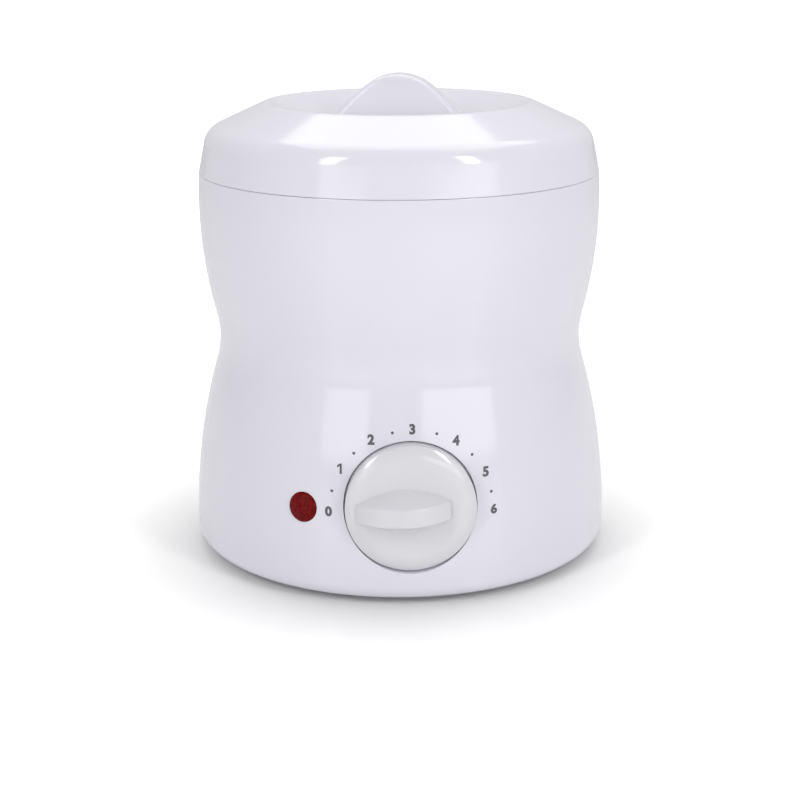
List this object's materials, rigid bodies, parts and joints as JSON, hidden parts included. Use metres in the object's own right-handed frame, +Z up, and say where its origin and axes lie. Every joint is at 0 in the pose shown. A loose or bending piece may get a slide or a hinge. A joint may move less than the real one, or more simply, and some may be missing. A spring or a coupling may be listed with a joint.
{
  "type": "wax heater",
  "caption": "Round waisted tabletop wax heater with a lift-off finned lid, a lift-out pot, a front temperature dial and a pilot lamp.",
  "frame": {"origin": "on the body axis, on the surface that the feet stand on", "axes": "+Z up, -Y out of the front through the knob, +Y out of the back through the cord entry, +X to the right seen from the front"},
  "size_m": [0.15, 0.1662, 0.1682],
  "materials": {
    "white_plastic": "gloss white moulding",
    "collar_plastic": "satin heat-resistant moulding",
    "aluminium": "spun, lightly brushed",
    "zinc_steel": "zinc plated",
    "heater_steel": "heat-dulled steel over mica",
    "fibre": "felted fibre",
    "brass": "plain",
    "copper": "plain copper",
    "fuse_sleeve": "woven glass sleeve",
    "dark_plastic": "black moulding",
    "red_lens": "deep red faceted lens",
    "clear_glass": "clear",
    "base_plastic": "fine matt moulding",
    "block_plastic": "natural moulding",
    "brown_wire": "silicone insulation",
    "blue_wire": "silicone insulation",
    "green_wire": "green and yellow insulation",
    "rubber": "matt"
  },
  "bodies": {
    "housing_body": {"housing": "white_plastic", "top_collar": "collar_plastic", "heating_well": "aluminium", "well_screws": "zinc_steel", "heater_band": "heater_steel", "heater_clamp": "zinc_steel", "heater_clamp_screw": "zinc_steel", "heater_clamp_nut": "zinc_steel", "insulation_sleeve": "fibre", "well_stud": "aluminium", "stud_nut": "zinc_steel", "earth_tag": "brass", "bulb_strip": "zinc_steel", "sensing_bulb": "copper", "capillary_tube": "copper", "thermal_fuse": "fuse_sleeve", "thermostat_body": "dark_plastic", "thermostat_bracket": "zinc_steel", "thermostat_bush": "brass", "thermostat_blades": "brass", "thermostat_screws": "zinc_steel", "pilot_lens": "red_lens", "lamp_holder": "dark_plastic", "neon_lamp": "clear_glass", "base_plate": "base_plastic", "base_screws": "zinc_steel", "cord_gland": "dark_plastic", "cord_clamp": "base_plastic", "cord_clamp_screws": "zinc_steel", "terminal_block": "block_plastic", "terminal_screws": "brass", "block_screws": "zinc_steel", "live_wire": "brown_wire", "load_wire": "brown_wire", "fuse_wire": "brown_wire", "neutral_wire": "blue_wire", "earth_wire": "green_wire", "lamp_leads": "blue_wire", "foot_rear_right": "rubber", "foot_rear_left": "rubber", "foot_front_left": "rubber", "foot_front_right": "rubber"},
    "pot_body": {"inner_pot": "aluminium", "pot_lugs": "aluminium"},
    "lid_body": {"lid": "white_plastic"},
    "knob_body": {"knob": "white_plastic", "knob_spring": "zinc_steel", "thermostat_shaft": "zinc_steel"}
  },
  "joints": [
    {"name": "pot_lift", "type": "slide", "parent": "housing_body", "child": "pot_body", "axis": [0, 0, 1], "range_m": [0, 0.085]},
    {"name": "lid_lift", "type": "slide", "parent": "pot_body", "child": "lid_body", "axis": [0, 0, 1], "range_m": [0, 0.06]},
    {"name": "knob_turn", "type": "hinge", "parent": "housing_body", "child": "knob_body", "pos_m": [0, -0.0752, 0.03415], "axis": [0, 1, 0], "range_deg": [0, 190]}
  ]
}
